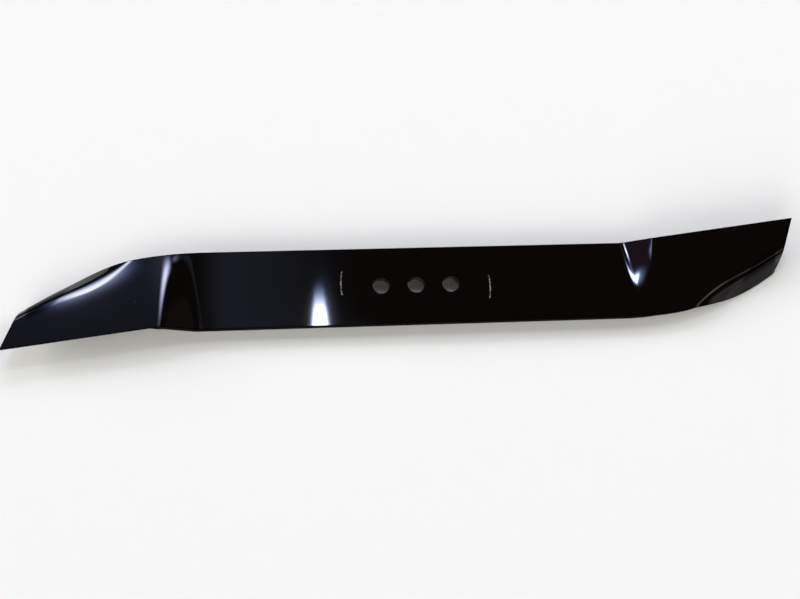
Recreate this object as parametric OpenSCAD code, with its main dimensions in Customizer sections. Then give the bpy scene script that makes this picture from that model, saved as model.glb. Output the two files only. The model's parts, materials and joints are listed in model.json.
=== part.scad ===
// Rotary lawn-mower blade: one bar of flat steel, pierced, bent at both ends and sharpened.
// The blade lies with its grass side up (+Z) and rests on the free edges of its two sails.
// The origin is the middle of the centre hole, on the deck-side face of the bar.

/* [Bar] */
// Length of the blade along the bar, from tip to tip
blade_length = 502; // [420:1:700]
// Width of the straight bar
bar_width = 51.5; // [44:0.5:70]
// Thickness of the steel
thickness = 3.5; // [2:0.1:6]

/* [Holes] */
// Diameter of the centre hole
centre_hole_d = 10.2; // [6:0.1:16]
// Diameter of the two outer holes
outer_hole_d = 10.2; // [6:0.1:16]
// Distance from the centre hole to each outer hole
hole_pitch = 22; // [18:0.5:34]

/* [Pressed marks] */
// Radius of the two arcs that are pressed around the centre hole
mark_radius = 47; // [44:0.5:80]
// Length of each arc, straight across
mark_length = 16; // [6:0.5:30]
// Width of each arc
mark_width = 1; // [0.8:0.1:3]
// Depth of each arc
mark_depth = 0.3; // [0.2:0.05:0.8]
// Angle by which the arcs are turned about the centre hole, clockwise from above
mark_turn = 3; // [0:0.5:8]

/* [Twist bend] */
// Length of the cutting edge along the bar, from the tip to the bend
cutting_length = 94; // [75:1:120]
// Width of the bend at the cutting side
bend_width = 21.5; // [14:0.5:36]
// How far the inner crease leans outward across the bar
inner_lean = 6; // [0:0.5:9]
// How far the outer crease leans inward across the bar
outer_lean = 4.5; // [0:0.5:8]
// Half width of the rounding along each crease
crease_round = 3.2; // [1:0.1:4.5]
// Rise of the cutting edge above the bar
edge_rise = 7.25; // [2:0.25:12]
// Distance behind the cutting edge at which the wing is level with the bar
twist_span = 49.5; // [40:0.5:80]

/* [Cutting edge] */
// Angle by which the cutting edge flares out from the bar
flare_angle = 7.2; // [0:0.1:10]
// Width of the bevel that is ground under the cutting edge
bevel_width = 9; // [4:0.5:14]
// Thickness left at the cutting edge
edge_land = 0.8; // [0.4:0.1:1.8]
// Length over which the bevel runs out beside the bend
bevel_runout = 8; // [2:0.5:20]

/* [End] */
// How far the trailing corner lies back from the tip, along the bar
end_slant = 12.5; // [0:0.5:20]
// Width of the end, across the bar
tip_width = 32.3; // [26:0.1:42]

/* [Sail] */
// Length of the curved trailing edge, along the bar
trail_length = 114; // [90:1:150]
// Power of the trailing edge's curve
trail_power = 2.5; // [1.6:0.1:4]
// Length of the sail, along the bar
sail_length = 65; // [50:1:85]
// Width of the folded sail, across the bar
sail_width = 16.7; // [13:0.1:20]
// Part of that width that is curved, next to the wing
sail_curve = 12; // [6:0.1:13]
// Length over which the fold comes to its full width
sail_widening = 28; // [10:1:50]
// Length over which the free edge comes to its full depth
sail_deepening = 44.5; // [20:0.5:50]
// Depth of the sail's lowest edge below the grass-side face of the bar
sail_depth = 11; // [6:0.1:15]

/* [Hidden] */
paint = [0.06, 0.06, 0.07];
$fn = 96;

half_length = blade_length / 2;
half_width = bar_width / 2;
cut_through = 3 * thickness;

// The corner of the cutting edge beside the bend, and its far tip
edge_start = [half_length - cutting_length, half_width];
edge_tip = edge_start + cutting_length * [1, tan(flare_angle)];
trail_corner = edge_tip - [end_slant, tip_width];
bend_inner = edge_start.x - bend_width;

// The wing starts where its first curve does, and the straight bar ends there
trail_start = trail_corner.x - trail_length;
wing_root = min(trail_start, bend_inner - crease_round);
sail_start = trail_corner.x - sail_length;

// Rows of points along the wing, and across its bevel, its plate and its sail
stations = 40;
bevel_rows = 2;
plate_rows = 6;
sail_rows = 10;
across = bevel_rows + plate_rows + sail_rows;
step_u = 0.0005;
step_s = 0.01;

function clamp(t) = max(0, min(1, t));
function smooth(t) = t * t * (3 - 2 * t);

// The cutting edge and the trailing edge in plan, at share u of the wing's length
function lead_x(u) = wing_root + (half_length - wing_root) * u;
function lead(u) = [lead_x(u), half_width + max(0, lead_x(u) - edge_start.x) * tan(flare_angle)];
function trail_x(u) = wing_root + (trail_corner.x - wing_root) * u;
function trail_turn(u) = pow(max(0, (trail_x(u) - trail_start) / trail_length), trail_power);
function trail(u) = [trail_x(u), -half_width + (trail_corner.y + half_width) * trail_turn(u)];
function width(u) = norm(trail(u) - lead(u));
function plan(u, s) = lead(u) + (trail(u) - lead(u)) * s / width(u);

// Height of the wing's plane over the bar: full at the cutting edge, none a twist span behind it
function behind_edge(p) = (p - edge_start) * [sin(flare_angle), -cos(flare_angle)];
function wing_height(p) = edge_rise * (1 - behind_edge(p) / twist_span);

// Share of that height that the bend has reached, with a round at each of its creases
function lean_share(p) = (half_width - p.y) / bar_width;
function inner_crease(p) = bend_inner + inner_lean * lean_share(p);
function outer_crease(p) = edge_start.x - outer_lean * lean_share(p);
function round_ramp(t, r) =
    t <= -r ? 0 :
    t < r ? pow(t + r, 2) / (4 * r) :
    t < 1 - r ? t :
    t < 1 + r ? 1 - pow(1 + r - t, 2) / (4 * r) : 1;
function bend_share(p) =
    let (run = outer_crease(p) - inner_crease(p))
    round_ramp((p.x - inner_crease(p)) / run, crease_round / run);

// How far the sail has fallen below the wing's plane: a strip that curves more and more, then a flat flap.
// The slope of the flap tells how far its lower edge hangs below its upper one.
function sail_run(u) = clamp((trail_x(u) - sail_start) / sail_widening);
function fold_width(u) = sail_width * (1 - pow(1 - sail_run(u), 2));
function fold_shape(q, c) = (q < c ? pow(q, 3) / (c * c) : 3 * q - 2 * c) / (3 - 2 * c);
function flap_grade(u) =
    let (c = sail_curve / sail_width)
    (wing_height(trail(u)) + sail_depth) * 3 / (3 - 2 * c) / sail_width;
function flap_slope(u) =
    let (
        section = (trail(u) - lead(u)) / width(u),
        edge = trail(u + step_u) - trail(u - step_u),
        outward = [edge.y, -edge.x] / norm(edge)
    )
    atan((flap_grade(u) + edge_rise / twist_span) / (section * outward));
function full_fall(u) =
    max(0, wing_height(trail(u)) + sail_depth - thickness * cos(flap_slope(u)))
    * smooth(clamp((trail_x(u) - sail_start) / sail_deepening));
function fall(u, s) =
    let (fold = fold_width(u), past = s - width(u) + fold)
    past <= 0 || fold <= 0 ? 0 : full_fall(u) * fold_shape(past / fold, sail_curve / sail_width);

// A point on the grass side, the way the sheet faces there, and the point under it
function grass_side(u, s) =
    let (p = plan(u, s))
    [p.x, p.y, thickness + bend_share(p) * wing_height(p) - fall(u, s)];
function facing(u, s) =
    let (
        along = grass_side(u + step_u, s) - grass_side(u - step_u, s),
        over = grass_side(u, s - step_s) - grass_side(u, s + step_s),
        n = cross(along, over)
    )
    n / norm(n);
function bevel_cut(u, s) =
    (thickness - edge_land) * clamp(1 - s / bevel_width)
    * smooth(clamp((lead_x(u) - edge_start.x) / bevel_runout));
function deck_side(u, s) = grass_side(u, s) - (thickness - bevel_cut(u, s)) * facing(u, s);

// Distance from the cutting edge of row j, so that a row lies on the bevel's and the sail's borders
function row(u, j) =
    j <= bevel_rows ? bevel_width * j / bevel_rows :
    j <= bevel_rows + plate_rows ?
        bevel_width + (width(u) - sail_width - bevel_width) * (j - bevel_rows) / plate_rows :
    width(u) - sail_width * (across - j) / sail_rows;

// One wing: a closed skin of triangles over the two sides and the sheared edges
module wing() {
    line = across + 1;
    under = (stations + 1) * line;
    function at(i, j) = i * line + j;
    function pair(a, b, c, d) = [[a, b, c], [a, c, d]];
    grass_points = [for (i = [0:stations], j = [0:across]) grass_side(i / stations, row(i / stations, j))];
    deck_points = [for (i = [0:stations], j = [0:across]) deck_side(i / stations, row(i / stations, j))];
    skin = [
        for (i = [0:stations - 1], j = [0:across - 1])
            let (a = at(i, j), b = at(i + 1, j), c = at(i + 1, j + 1), d = at(i, j + 1))
            each concat(pair(a, b, c, d), pair(under + d, under + c, under + b, under + a))
    ];
    long_edges = [
        for (i = [0:stations - 1])
            let (a = at(i, 0), b = at(i + 1, 0), c = at(i, across), d = at(i + 1, across))
            each concat(pair(b, a, under + a, under + b), pair(c, d, under + d, under + c))
    ];
    end_edges = [
        for (j = [0:across - 1])
            let (a = at(0, j), b = at(0, j + 1), c = at(stations, j + 1), d = at(stations, j))
            each concat(pair(a, b, under + b, under + a), pair(c, d, under + d, under + c))
    ];
    polyhedron(concat(grass_points, deck_points), concat(skin, long_edges, end_edges));
}

// The straight bar between the two wings
module bar() {
    translate([-wing_root, -half_width, 0])
        cube([2 * wing_root, bar_width, thickness]);
}

// The three holes in a row
module holes() {
    cylinder(d = centre_hole_d, h = cut_through, center = true);
    for (side = [-1, 1])
        translate([side * hole_pitch, 0, 0])
            cylinder(d = outer_hole_d, h = cut_through, center = true);
}

// A groove of round section along an arc around the centre hole
module pressed_mark() {
    nose_r = (pow(mark_width / 2, 2) + pow(mark_depth, 2)) / (2 * mark_depth);
    half_angle = asin(mark_length / 2 / mark_radius);
    translate([0, 0, thickness - mark_depth + nose_r])
        rotate([0, 0, -half_angle - mark_turn])
            rotate_extrude(angle = 2 * half_angle)
                translate([mark_radius, 0])
                    circle(r = nose_r);
}

module blade() {
    color(paint)
        difference() {
            union() {
                bar();
                for (turn = [0, 180])
                    rotate([0, 0, turn])
                        wing();
            }
            holes();
            for (turn = [0, 180])
                rotate([0, 0, turn])
                    pressed_mark();
        }
}

blade();
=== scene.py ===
import json
from math import asin, cos, pi, radians, sin, tan

import bmesh
import bpy
import numpy as np
from mathutils import Matrix, Vector

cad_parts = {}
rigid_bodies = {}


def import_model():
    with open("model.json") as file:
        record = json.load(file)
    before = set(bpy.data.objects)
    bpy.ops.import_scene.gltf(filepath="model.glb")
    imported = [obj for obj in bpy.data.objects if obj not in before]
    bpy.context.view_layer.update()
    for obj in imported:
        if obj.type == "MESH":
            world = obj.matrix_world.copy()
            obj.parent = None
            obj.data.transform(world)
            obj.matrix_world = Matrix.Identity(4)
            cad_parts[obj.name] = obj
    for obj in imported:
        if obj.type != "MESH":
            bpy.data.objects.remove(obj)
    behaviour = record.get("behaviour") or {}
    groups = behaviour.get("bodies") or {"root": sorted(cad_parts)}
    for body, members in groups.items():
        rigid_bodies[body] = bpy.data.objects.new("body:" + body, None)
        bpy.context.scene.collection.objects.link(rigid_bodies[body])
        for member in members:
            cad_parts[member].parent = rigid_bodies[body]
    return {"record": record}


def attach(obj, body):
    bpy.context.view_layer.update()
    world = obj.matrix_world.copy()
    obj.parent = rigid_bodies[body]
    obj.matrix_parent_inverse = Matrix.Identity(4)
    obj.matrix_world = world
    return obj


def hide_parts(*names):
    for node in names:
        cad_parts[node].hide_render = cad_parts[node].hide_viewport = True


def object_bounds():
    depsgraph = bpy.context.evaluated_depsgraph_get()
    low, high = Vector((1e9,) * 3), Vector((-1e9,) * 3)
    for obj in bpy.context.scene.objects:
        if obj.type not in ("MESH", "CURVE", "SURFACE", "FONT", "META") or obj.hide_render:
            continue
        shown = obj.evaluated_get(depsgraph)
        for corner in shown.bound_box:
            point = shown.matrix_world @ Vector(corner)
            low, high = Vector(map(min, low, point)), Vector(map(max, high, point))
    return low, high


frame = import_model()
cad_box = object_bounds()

# The blade is one bar of flat steel, blanked to its outline and bent at both ends.
# Each wing twists up to its cutting edge, and its trailing side is folded down into a sail.
# The grass side is up. The two halves are alike, turned half a turn about the centre hole.
MM = 0.001
mounts = {m["name"]: m for m in frame["record"]["mounts"]}
thickness = mounts["centre_bore"]["dims"]["length_mm"]
half_length = cad_box[1][0] / MM
bar_width = 51.5
half_width = bar_width / 2
cutting_length = 94.0
bend_width = 21.5
inner_lean = 6.0
outer_lean = 4.5
crease_round = 3.2
edge_rise = 7.25
twist_span = 49.5
flare = radians(7.2)
bevel_width = 9.0
edge_land = 0.8
bevel_runout = 8.0
end_slant = 12.5
tip_width = 32.3
trail_length = 114.0
trail_power = 2.5
sail_length = 65.0
sail_width = 16.7
sail_curve = 12.0
sail_widening = 28.0
sail_deepening = 44.5
sail_depth = 11.0

edge_start = np.array([half_length - cutting_length, half_width])
edge_tip = edge_start + cutting_length * np.array([1, tan(flare)])
trail_corner = edge_tip - [end_slant, tip_width]
bend_inner = edge_start[0] - bend_width
trail_start = trail_corner[0] - trail_length
wing_root = min(trail_start, bend_inner - crease_round)
sail_start = trail_corner[0] - sail_length


def clamp(t):
    return np.clip(t, 0, 1)


def smooth(t):
    return t * t * (3 - 2 * t)


def lead(u):
    """The cutting side in plan: u is -1 at the middle, 0 at the wing's root and 1 at the tip."""
    x = wing_root + np.where(u < 0, wing_root, half_length - wing_root) * u
    return np.stack([x, half_width + np.maximum(0, x - edge_start[0]) * tan(flare)], -1)


def trail(u):
    x = wing_root + np.where(u < 0, wing_root, trail_corner[0] - wing_root) * u
    turn = np.maximum(0, (x - trail_start) / trail_length) ** trail_power
    return np.stack([x, -half_width + (trail_corner[1] + half_width) * turn], -1)


def width(u):
    return np.linalg.norm(trail(u) - lead(u), axis=-1)


def wing_height(p):
    """Height of the wing's plane over the bar, falling away behind the cutting edge."""
    behind = (p - edge_start) @ np.array([sin(flare), -cos(flare)])
    return edge_rise * (1 - behind / twist_span)


def bend_share(p):
    """How much of that height the twist bend has reached, with a round at both creases."""
    lean = (half_width - p[..., 1]) / bar_width
    inner = bend_inner + inner_lean * lean
    run = edge_start[0] - outer_lean * lean - inner
    r = crease_round / run
    t = np.clip((p[..., 0] - inner) / run, -r, 1 + r)
    rising = (t + r) ** 2 / (4 * r)
    settling = 1 - (1 + r - t) ** 2 / (4 * r)
    return np.where(t < r, rising, np.where(t < 1 - r, t, settling))


def sail_fall(u, s):
    """How far the sail has dropped below the wing's plane, s behind the cutting edge."""
    along = trail(u)[..., 0] - sail_start
    fold = np.maximum(sail_width * (1 - (1 - clamp(along / sail_widening)) ** 2), 1e-6)
    c = sail_curve / sail_width
    grade = (wing_height(trail(u)) + sail_depth) * 3 / (3 - 2 * c) / sail_width
    edge = trail(u + du) - trail(u - du)
    outward = np.stack([edge[..., 1], -edge[..., 0]], -1) / np.linalg.norm(edge, axis=-1)[..., None]
    section = (trail(u) - lead(u)) / width(u)[..., None]
    slope = np.arctan((grade + edge_rise / twist_span) / (section * outward).sum(-1))
    depth = np.maximum(0, wing_height(trail(u)) + sail_depth - thickness * np.cos(slope))
    q = np.maximum(0, (s - width(u)) / fold + 1)
    shape = np.where(q < c, q ** 3 / (c * c), 3 * q - 2 * c) / (3 - 2 * c)
    return depth * smooth(clamp(along / sail_deepening)) * shape


def grass_side(u, s):
    p = lead(u) + (trail(u) - lead(u)) * (s / width(u))[..., None]
    z = thickness + bend_share(p) * wing_height(p) - sail_fall(u, s)
    return np.concatenate([p, z[..., None]], -1)


du, ds = 0.0005, 0.01


def facing(u, s):
    along = grass_side(u + du, s) - grass_side(u - du, s)
    over = grass_side(u, s - ds) - grass_side(u, s + ds)
    n = np.cross(along, over)
    return n / np.linalg.norm(n, axis=-1)[..., None]


def sheet_depth(u, s):
    """Thickness of the steel, less what is ground off under the cutting edge."""
    ground = clamp(1 - s / bevel_width) * smooth(clamp((lead(u)[..., 0] - edge_start[0]) / bevel_runout))
    return thickness - (thickness - edge_land) * ground


# Every edge of the sheet is rounded a little by the press and the paint.
# The rows run across the blade from the cutting side to the trailing side, and the stations
# along it, closest in the bend. The last stations of a wing turn over its end.
edge_round = 0.35
edge_hold = 0.04
edge_fade = 0.4
arc_steps = 4
bevel_rows = 8
plate_rows = 18
sail_rows = 26
root_stations = 6
bend_stations = 130
wing_stations = 90

wing_span = half_length - wing_root
bend_begin = (bend_inner - 2 * crease_round - wing_root) / wing_span
bend_end = (edge_start[0] + 2 * crease_round - wing_root) / wing_span
end_share = edge_round / wing_span
hold_share = (edge_round + edge_hold) / wing_span
fade_share = (edge_round + edge_fade) / wing_span
arc = np.linspace(0, pi / 2, arc_steps + 1)
flat_u = np.concatenate([
    [-1],
    np.linspace(0, bend_begin, root_stations),
    np.linspace(bend_begin, bend_end, bend_stations)[1:],
    np.linspace(bend_end, 1 - fade_share, wing_stations)[1:],
    [1 - hold_share, 1 - end_share],
])
station_u = np.concatenate([flat_u, 1 - end_share * (1 - np.sin(arc[1:]))])
station_turn = np.concatenate([0 * flat_u, arc[1:]])
u = station_u[:, None]
w = width(u)
turn = np.cos(station_turn)[:, None]

inside = np.concatenate([
    edge_round + 0 * w,
    edge_round + edge_hold + 0 * w,
    np.linspace(edge_round + edge_fade, bevel_width, bevel_rows + 1) + 0 * w,
    bevel_width + (w - sail_width - bevel_width) * np.linspace(0, 1, plate_rows + 1)[1:],
    w - np.linspace(sail_width, edge_round + edge_fade, sail_rows + 1)[1:],
    w - edge_round - edge_hold,
    w - edge_round,
], 1)
round_over = edge_round * np.sin(arc[1:]) * turn
row_s = np.concatenate([edge_round - round_over[:, ::-1], inside, w - edge_round + round_over], 1)
row_turn = np.concatenate([arc[:0:-1], np.zeros(inside.shape[1]), arc[1:]])
skin = edge_round * (1 - np.cos(row_turn) * turn)
u = np.broadcast_to(u, row_s.shape)
upper = grass_side(u, row_s) - skin[..., None] * facing(u, row_s)
lower = grass_side(u, row_s) - (sheet_depth(u, row_s) - skin)[..., None] * facing(u, row_s)

# The paint is thinnest on the sheared edges. It is thin on the outer face of each sail as well,
# over a band along the free edge that is widest a little before the tip.
thin_on_sail = 0.78
widens_at, widens_over = 34, 14
narrows_at, narrows_over = 62, 6
band_width, band_growth, band_slope = 2, 2.8, 4

row_edge = np.zeros(row_s.shape[1])
row_edge[:arc_steps + 2] = row_edge[-arc_steps - 2:] = 1
station_edge = np.zeros(len(station_u))
station_edge[-arc_steps - 2:] = 1
sheared = np.maximum(station_edge[:, None], row_edge)
along = trail(u)[..., 0] - sail_start
widening = smooth(clamp((along - widens_at) / widens_over))
narrowing = smooth(clamp((narrows_at - along) / narrows_over))
band = band_width + band_growth * widening * narrowing + band_slope * (row_s - w) / sail_width
flap = smooth(clamp(band)) * smooth(clamp(along / sail_deepening))
thin_above = np.maximum(sheared, thin_on_sail * flap)
thin_paint = np.concatenate([thin_above.ravel(), sheared.ravel()])
stations, rows = row_s.shape
points = np.concatenate([upper.reshape(-1, 3), lower.reshape(-1, 3)])
count = len(points)
points = np.concatenate([points, points * [-1, -1, 1]]) * MM
index = np.arange(stations * rows).reshape(stations, rows)
under = index + stations * rows


def quads(a, b, c, d):
    return np.stack([a.ravel(), b.ravel(), c.ravel(), d.ravel()], 1)


faces = np.concatenate([
    quads(index[:-1, :-1], index[:-1, 1:], index[1:, 1:], index[1:, :-1]),
    quads(under[:-1, :-1], under[1:, :-1], under[1:, 1:], under[:-1, 1:]),
    quads(index[:-1, 0], index[1:, 0], under[1:, 0], under[:-1, 0]),
    quads(index[1:, -1], index[:-1, -1], under[:-1, -1], under[1:, -1]),
    quads(index[-1, :-1], index[-1, 1:], under[-1, 1:], under[-1, :-1]),
])
faces = np.concatenate([faces, faces + count])

mesh = bpy.data.meshes.new("mower_blade")
mesh.from_pydata(points.tolist(), [], faces.tolist())
mesh.attributes.new("thin_paint", "FLOAT", "POINT").data.foreach_set("value", np.tile(thin_paint, 2))
blade = bpy.data.objects.new("mower_blade", mesh)
bpy.context.scene.collection.objects.link(blade)

weld = blade.modifiers.new("seams", "WELD")
weld.merge_threshold = 0.002 * MM

# Three holes in a row take the bolts. They are punched, so each mouth is a little rounded,
# and beside them a round-nosed tool has pressed an arc about the centre hole on either side.
mouth_round = 0.2
mark_radius = 47.0
mark_length = 16.0
mark_width = 1.0
mark_depth = 0.3
mark_turn = radians(3)
hole_sides = 96


def lathe(name, profile, place):
    """A closed solid turned about Z from (radius, height) points, with a flat cap at both ends."""
    around = (np.arange(hole_sides) + 0.5) * 2 * pi / hole_sides
    rings = [(r * np.cos(around), r * np.sin(around), np.full(hole_sides, z)) for r, z in profile]
    verts = np.concatenate([np.stack(ring, 1) for ring in rings]) + place
    ring = np.arange(hole_sides)
    sides = [quads(ring + i * hole_sides, np.roll(ring, -1) + i * hole_sides,
                   np.roll(ring, -1) + (i + 1) * hole_sides, ring + (i + 1) * hole_sides)
             for i in range(len(profile) - 1)]
    caps = [ring[::-1].tolist(), (ring + (len(profile) - 1) * hole_sides).tolist()]
    solid = bpy.data.meshes.new(name)
    solid.from_pydata((verts * MM).tolist(), [], np.concatenate(sides).tolist() + caps)
    return solid


def mouth(radius, low, high):
    """A punched hole's outline from below one face to above the other, with rounded mouths."""
    bend = np.linspace(0, pi / 2, 6)
    flare_out = radius + mouth_round * (1 - np.cos(bend))
    reach = mouth_round * np.sin(bend)
    below = [(r, low + mouth_round - h) for r, h in zip(flare_out[::-1], reach[::-1])]
    above = [(r, high - mouth_round + h) for r, h in zip(flare_out, reach)]
    wide = radius + mouth_round
    return [(wide, low - 1)] + below + above + [(wide, high + 1)]


cutters = []
for name in ("centre_bore", "left_bore", "right_bore"):
    place = np.array(mounts[name]["pos_m"]) / MM
    cutters.append(lathe(name, mouth(mounts[name]["dims"]["r_mm"], 0, thickness), place))

nose = ((mark_width / 2) ** 2 + mark_depth ** 2) / (2 * mark_depth)
half_mark = asin(mark_length / 2 / mark_radius)
ring_turn = np.linspace(0, 2 * pi, 32, endpoint=False)
sweep = np.linspace(-half_mark, half_mark, 25) - mark_turn
for side in (0, pi):
    reach = mark_radius + nose * np.cos(ring_turn)[None, :]
    angle = sweep[:, None] + side
    high = thickness - mark_depth + nose * (1 + np.sin(ring_turn))[None, :] + 0 * angle
    verts = np.stack([reach * np.cos(angle), reach * np.sin(angle), high], -1).reshape(-1, 3)
    grid = np.arange(len(verts)).reshape(len(sweep), len(ring_turn))
    tube = quads(grid[:-1], np.roll(grid, -1, 1)[:-1], np.roll(grid, -1, 1)[1:], grid[1:])
    groove = bpy.data.meshes.new("pressed_mark")
    caps = [grid[0][::-1].tolist(), grid[-1].tolist()]
    groove.from_pydata((verts * MM).tolist(), [], tube.tolist() + caps)
    cutters.append(groove)

tools = bpy.data.collections.new("punches")
bpy.context.scene.collection.children.link(tools)
for cutter in cutters:
    tools.objects.link(bpy.data.objects.new(cutter.name, cutter))
punch = blade.modifiers.new("holes", "BOOLEAN")
punch.operand_type = "COLLECTION"
punch.collection = tools
punch.operation = "DIFFERENCE"
punch.solver = "EXACT"

finished = bpy.data.meshes.new_from_object(blade.evaluated_get(bpy.context.evaluated_depsgraph_get()))
blade.modifiers.clear()
blade.data = finished
for tool in list(tools.objects):
    bpy.data.objects.remove(tool)
bpy.data.collections.remove(tools)

# The level faces mirror straight up to their borders, and the paint is whole around the holes.
sharp_corner = radians(35)
level_border = radians(4)
level_normal = 0.99999
sheared_margin = 1.0
finished.shade_smooth()
finished.set_sharp_from_angle(angle=sharp_corner)
form = bmesh.new()
form.from_mesh(finished)
for edge in form.edges:
    level = [abs(face.normal.z) > level_normal for face in edge.link_faces]
    if any(level) and not all(level) and edge.calc_face_angle(0) > level_border:
        edge.smooth = False
thin_layer = form.verts.layers.float["thin_paint"]
for point in form.verts:
    if abs(point.co.x) < wing_root * MM and abs(point.co.y) < (half_width - sheared_margin) * MM:
        point[thin_layer] = 0
form.to_mesh(finished)
form.free()
even = blade.modifiers.new("even_normals", "WEIGHTED_NORMAL")
even.keep_sharp = True

# The whole blade is sprayed with glossy black paint: a smooth clear surface over a warm black.
# It has a faint orange peel and a few specks of dust. The sheared edges and the outer faces of
# the sails took it more thinly, and along the two pressed arcs it is pale grey and dull, in broken lines.
paint_black = (0.0012, 0.0008, 0.0007, 1)
arc_grey = (0.22, 0.22, 0.22, 1)
dust_grey = (0.05, 0.05, 0.055, 1)
thin_share = 0.9
dust_spacing = 9.0


class Wire:
    """A shader socket that can stand in sums and products."""

    def __init__(self, socket):
        self.socket = socket
        self.tree = socket.id_data

    def node(self, kind, settings={}, sockets={}):
        """A new node: its settings are set first, then the values or links of its sockets."""
        made = self.tree.nodes.new(kind)
        for key, value in settings.items():
            setattr(made, key, value)
        for key, value in sockets.items():
            if isinstance(value, Wire):
                self.tree.links.new(value.socket, made.inputs[key])
            else:
                made.inputs[key].default_value = value
        return made

    def math(self, operation, *values):
        made = self.node("ShaderNodeMath", {"operation": operation}, dict(enumerate(values)))
        return Wire(made.outputs[0])

    def __add__(self, other):
        return self.math("ADD", self, other)

    def __mul__(self, other):
        return self.math("MULTIPLY", self, other)

    def __sub__(self, other):
        return self.math("SUBTRACT", self, other)

    def __rsub__(self, other):
        return self.math("SUBTRACT", other, self)

    __radd__ = __add__
    __rmul__ = __mul__

    def __abs__(self):
        return self.math("ABSOLUTE", self)

    def root(self):
        return self.math("SQRT", self)

    def ramp(self, low, high):
        """0 at low and 1 at high, eased at both ends."""
        sockets = {"Value": self, "From Min": low, "From Max": high}
        made = self.node("ShaderNodeMapRange", {"interpolation_type": "SMOOTHSTEP"}, sockets)
        return Wire(made.outputs[0])

    def axes(self):
        return [Wire(out) for out in self.node("ShaderNodeSeparateXYZ", {}, {0: self}).outputs]

    def mix(self, colour_a, colour_b):
        """Colour a where this is 0 and colour b where it is 1."""
        made = self.node("ShaderNodeMix", {"data_type": "RGBA"}, {0: self, 6: colour_a, 7: colour_b})
        return Wire(made.outputs[2])

    def feed(self, socket):
        self.tree.links.new(self.socket, socket)


paint = bpy.data.materials.new("glossy_black_paint")
paint.use_nodes = True
shader = paint.node_tree.nodes["Principled BSDF"]
place = Wire(paint.node_tree.nodes.new("ShaderNodeTexCoord").outputs["Object"])


def noise(size_mm, detail):
    sockets = {"Vector": place, "Scale": 1 / (size_mm * MM), "Detail": detail}
    return Wire(place.node("ShaderNodeTexNoise", {}, sockets).outputs["Fac"])


x, y, z = place.axes()
from_hole = (x * x + y * y).root()
along_arc = x * sin(mark_turn) + y * cos(mark_turn)
across_arc = abs(from_hole - mark_radius * MM).ramp(0.5 * MM, 0.3 * MM)
on_arc = across_arc * abs(along_arc).ramp(8.2 * MM, 7.8 * MM)
# The pressed arcs are coloured pale grey and lose the coat, broken up by noise.
pale_arc = on_arc * noise(1.1, 2.0).ramp(0.40, 0.55) * z.ramp(2.5 * MM, 2.9 * MM)

cells = place.node("ShaderNodeTexVoronoi", {}, {"Vector": place, "Scale": 1 / (dust_spacing * MM)})
chance, _, _ = Wire(cells.outputs["Color"]).axes()
dust = Wire(cells.outputs["Distance"]).ramp(0.035, 0.02) * chance.ramp(0.84, 0.88)

thin = Wire(place.node("ShaderNodeAttribute", {"attribute_name": "thin_paint"}).outputs["Fac"])
bump = place.node("ShaderNodeBump", {}, {"Height": noise(2.4, 1.0), "Strength": 0.02, "Distance": 0.0002})
pale_arc.mix(dust.mix(paint_black, dust_grey), arc_grey).feed(shader.inputs["Base Color"])
((1 - pale_arc) * (1 - thin_share * thin)).feed(shader.inputs["Coat Weight"])
shader.inputs["Roughness"].default_value = 0.3
shader.inputs["Specular IOR Level"].default_value = 0.0
shader.inputs["Coat Roughness"].default_value = 0.03
Wire(bump.outputs["Normal"]).feed(shader.inputs["Normal"])
blade.data.materials.clear()
blade.data.materials.append(paint)

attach(blade, "root")
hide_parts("blade")

# The blade lies on a plain white table, on the edges of its two sails.
# The table runs on far beyond the blade, so that its own edge stays out of sight.
table_half = 8.0
table_top = cad_box[0][2]
table_mesh = bpy.data.meshes.new("table")
corners = [(-1, -1), (1, -1), (1, 1), (-1, 1)]
table_points = [(x * table_half, y * table_half, table_top) for x, y in corners]
table_mesh.from_pydata(table_points, [], [(0, 1, 2, 3)])
table = bpy.data.objects.new("table", table_mesh)
bpy.context.scene.collection.objects.link(table)
white = bpy.data.materials.new("white_table")
white.use_nodes = True
white_shader = white.node_tree.nodes["Principled BSDF"]
white_shader.inputs["Base Color"].default_value = (0.93, 0.93, 0.93, 1)
white_shader.inputs["Roughness"].default_value = 0.8
white_shader.inputs["Specular IOR Level"].default_value = 0.0
table_mesh.materials.append(white)

# Soft daylight comes through the windows of a dark room, most of them beyond the blade, and one
# weak lamp stands on its right. Bright low walls on four sides light the table, and dim patches of
# bluish, purple and brown wall lie between the windows. The camera itself sees a pale wall.
daylight = (0.93, 0.96, 1.0, 1)
rim_blue = (0.45, 0.55, 1.1, 1)
sky_blue = (0.5, 0.75, 1.35, 1)
dusk_blue = (0.75, 0.8, 1.35, 1)
warm_white = (1.0, 0.93, 0.92, 1)


def direction(azimuth, elevation):
    """The way to a lamp, in degrees: azimuth turns from +Y towards +X."""
    a, e = radians(azimuth), radians(elevation)
    return Vector((sin(a) * cos(e), cos(a) * cos(e), sin(e)))


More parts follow.
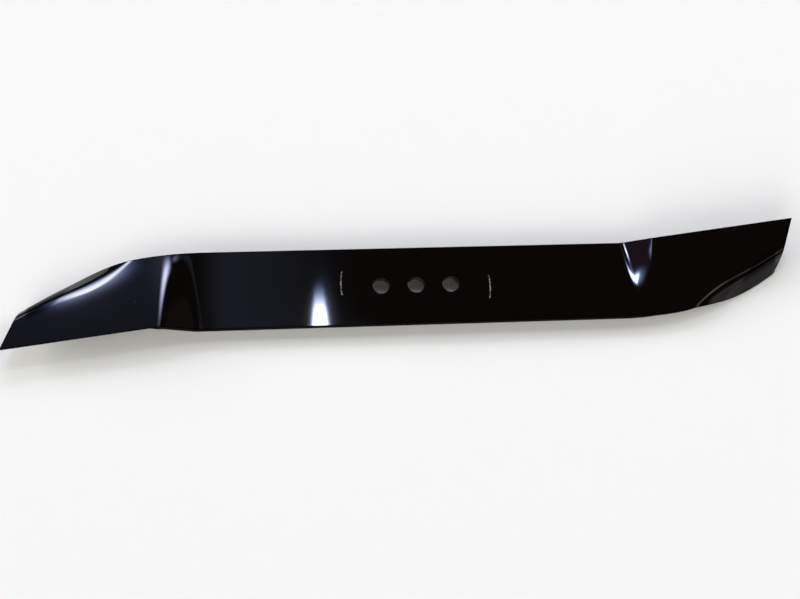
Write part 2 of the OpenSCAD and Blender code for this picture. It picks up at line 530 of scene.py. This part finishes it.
def softbox(name, seen_from, azimuth, elevation, spread, radiance, fade, lean=0,
            narrowing=0, core=daylight, rim=rim_blue, far=5.0, grid=180):
    """A lamp as it is seen from a point of the blade. Its width, height and lean are in degrees.

    Radiance is the brightness of its face, which fades towards its sides, its lower and its upper end.
    Far is its distance in metres, and a grid in front of it keeps its light within an angle.
    """
    lamp = bpy.data.lights.new(name, "AREA")
    lamp.shape = "RECTANGLE"
    lamp.size, lamp.size_y = [2 * far * tan(radians(angle) / 2) for angle in spread]
    lamp.spread = radians(grid)
    lamp.energy = radiance * pi * lamp.size * lamp.size_y * (1 - radians(grid / 2) / tan(radians(grid / 2)))
    lamp.use_nodes = True
    nodes = lamp.node_tree.nodes
    u, v, _ = Wire(nodes.new("ShaderNodeNewGeometry").outputs["Parametric"]).axes()
    half = 1 - narrowing * (1 - v)
    side = (half - abs(2 * u - 1)).ramp(0, fade[0])
    shape = side * v.ramp(0, fade[1]) * (1 - v).ramp(0, fade[2])
    (shape * shape).feed(nodes["Emission"].inputs["Strength"])
    (shape * shape).mix(rim, core).feed(nodes["Emission"].inputs["Color"])
    box = bpy.data.objects.new(name, lamp)
    bpy.context.scene.collection.objects.link(box)
    toward = direction(azimuth, elevation)
    turned = toward.to_track_quat("Z", "Y").to_matrix().to_4x4() @ Matrix.Rotation(radians(lean), 4, "Z")
    box.matrix_world = Matrix.Translation(Vector(seen_from) * MM + toward * far) @ turned


left_wing = (-195, 5, 5)
left_tip = (-239, -15, 7)
left_bend = (-155, 5, 5)
bar_left = (-60, -13, 3.5)
right_bend = (141, 3, 4)
right_sail = (195, -10, 4)
softbox("left_window", left_wing, -15.27, 30.62, (6.65, 39.3), 21.9, (0.86, 0.93, 0.03), lean=11.1)
softbox("corner_window", left_tip, -18.8, 33, (4, 24), 4.5, (0.9, 0.5, 0.5), lean=8)
softbox("right_window", left_bend, 5.5, 48.3, (17.8, 9.4), 30, (0.95, 0.45, 0.4),
        lean=-6.5, rim=dusk_blue)
softbox("tall_window", left_bend, 3, 56, (10, 13), 4.5, (0.9, 0.5, 0.8))
softbox("high_window", bar_left, 11.72, 67.42, (2.15, 6.4), 58, (0.38, 0.53, 0.03),
        lean=11.2, narrowing=0.55, far=1.0, grid=9)
softbox("high_glow", bar_left, 11.9, 66.4, (3.6, 8.5), 1.6, (0.95, 0.6, 0.1),
        lean=11.4, narrowing=0.3, core=sky_blue, far=1.0, grid=12)
softbox("roof_window", right_bend, -7, 71.15, (3.4, 16.6), 46, (0.75, 0.3, 0.2),
        lean=-77, narrowing=0.35)
softbox("roof_glow", right_bend, -22.5, 72.2, (10.5, 10), 7, (0.95, 0.5, 0.5), core=sky_blue)
softbox("small_window", right_bend, -27, 67.9, (7.5, 2.8), 30, (0.7, 0.5, 0.5), lean=-22)
softbox("dim_window", right_bend, -47, 72.8, (2.8, 7), 12, (0.9, 0.5, 0.7),
        lean=30, core=dusk_blue, rim=dusk_blue)
softbox("side_window", right_sail, 105, 53, (13, 18), 1.8, (0.95, 0.5, 0.5),
        core=warm_white, rim=warm_white)

dark_room = (0.045, 0.033, 0.028, 1)
blue_wall = (0.205, 0.243, 0.368, 1)
low_wall = (0.165, 0.185, 0.31, 1)
purple_wall = (0.195, 0.133, 0.208, 1)
brown_wall = (0.105, 0.078, 0.068, 1)
side_wall = (0.66, 0.55, 0.6, 1)
bright_room = (6.15, 6.15, 5.75, 1)
pale_wall = (0.93, 0.93, 0.93, 1)
world = bpy.data.worlds.new("room")
bpy.context.scene.world = world
world.use_nodes = True
nodes = world.node_tree.nodes
way = Wire(nodes.new("ShaderNodeTexCoord").outputs["Generated"])


def patch(azimuth, elevation, outer, inner):
    """1 within the inner angle of a direction and 0 beyond the outer one."""
    settings = {"operation": "DOT_PRODUCT"}
    made = way.node("ShaderNodeVectorMath", settings, {0: way, 1: direction(azimuth, elevation)})
    return Wire(made.outputs["Value"]).ramp(cos(radians(outer)), cos(radians(inner)))


right_way, _, up_way = way.axes()
blue = right_way.ramp(-0.009, 0.016) * right_way.ramp(0.115, 0.01)
blue = blue * up_way.ramp(0.84, 0.90) * up_way.ramp(0.9455, 0.9335)
room = blue.mix(dark_room, blue_wall)
room = patch(-11, 44, 12, 3).mix(room, low_wall)
room = patch(-46, 68.5, 9, 3).mix(room, purple_wall)
room = patch(46, 45.5, 8, 3).mix(room, brown_wall)
room = patch(120, 6, 26, 12).mix(room, side_wall)
for azimuth in (-157.5, -112.5, -67.5, 67.5):
    room = patch(azimuth, 23, 22, 8).mix(room, bright_room)
seen = Wire(nodes.new("ShaderNodeLightPath").outputs["Is Camera Ray"])
seen.mix(room, pale_wall).feed(nodes["Background"].inputs["Color"])

# The camera stands in front of the blade, a little to its left, and is turned on its axis.
# Its place comes from both ends and the holes of the blade in the 800 by 599 frame.
camera_azimuth = radians(-19.37)
camera_elevation = radians(65.78)
camera_roll = radians(16.16)
camera_distance = 873.8
frame_shift = (9.995, 9.122)
focal_pixels = 1400.0
frame_width = 800

back = Vector((sin(camera_azimuth) * cos(camera_elevation),
               -cos(camera_azimuth) * cos(camera_elevation), sin(camera_elevation)))
level = Vector((0, 0, 1)).cross(back).normalized()
rise = back.cross(level)
right = cos(camera_roll) * level + sin(camera_roll) * rise
upward = cos(camera_roll) * rise - sin(camera_roll) * level
aim = Vector((0, 0, thickness)) - frame_shift[0] * right - frame_shift[1] * upward
lens = bpy.data.cameras.new("camera")
lens.sensor_fit = "HORIZONTAL"
lens.lens = lens.sensor_width * focal_pixels / frame_width
lens.clip_start = 0.01
camera = bpy.data.objects.new("camera", lens)
bpy.context.scene.collection.objects.link(camera)
turned = Matrix((right, upward, back)).transposed().to_4x4()
camera.matrix_world = Matrix.Translation((aim + back * camera_distance) * MM) @ turned
bpy.context.scene.camera = camera
bpy.context.scene.view_settings.view_transform = "Standard"
